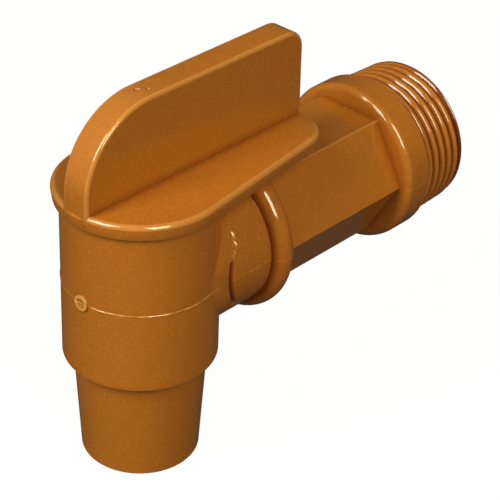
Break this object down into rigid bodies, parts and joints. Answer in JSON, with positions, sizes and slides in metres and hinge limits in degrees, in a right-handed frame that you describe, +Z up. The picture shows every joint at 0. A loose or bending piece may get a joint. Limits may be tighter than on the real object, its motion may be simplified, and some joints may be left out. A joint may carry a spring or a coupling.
{
  "type": "drum spigot",
  "caption": "Moulded rotary drum spigot: a barrel with a hexagonal side arm and a male taper pipe thread, and a turning plug with a finned handle and a downward spout.",
  "frame": {"origin": "on the arm's axis, in the plane of the flange's back face, where the thread starts and the spigot meets the drum", "axes": "+Y along the arm towards the drum, +Z up along the plug's axis from the spout to the handle, +X to the side"},
  "size_m": [0.0284, 0.0791, 0.0651],
  "materials": {
    "body_plastic": "glossy caramel-brown moulded polyethylene with a fine mottle",
    "plug_plastic": "glossy caramel-brown moulded polyethylene with a fine mottle"
  },
  "bodies": {
    "body": {"body": "body_plastic"},
    "plug": {"plug": "plug_plastic"}
  },
  "joints": [
    {"name": "plug_turn", "type": "hinge", "parent": "body", "child": "plug", "pos_m": [0, -0.0547, 0], "axis": [0, 0, 1], "continuous": true}
  ]
}
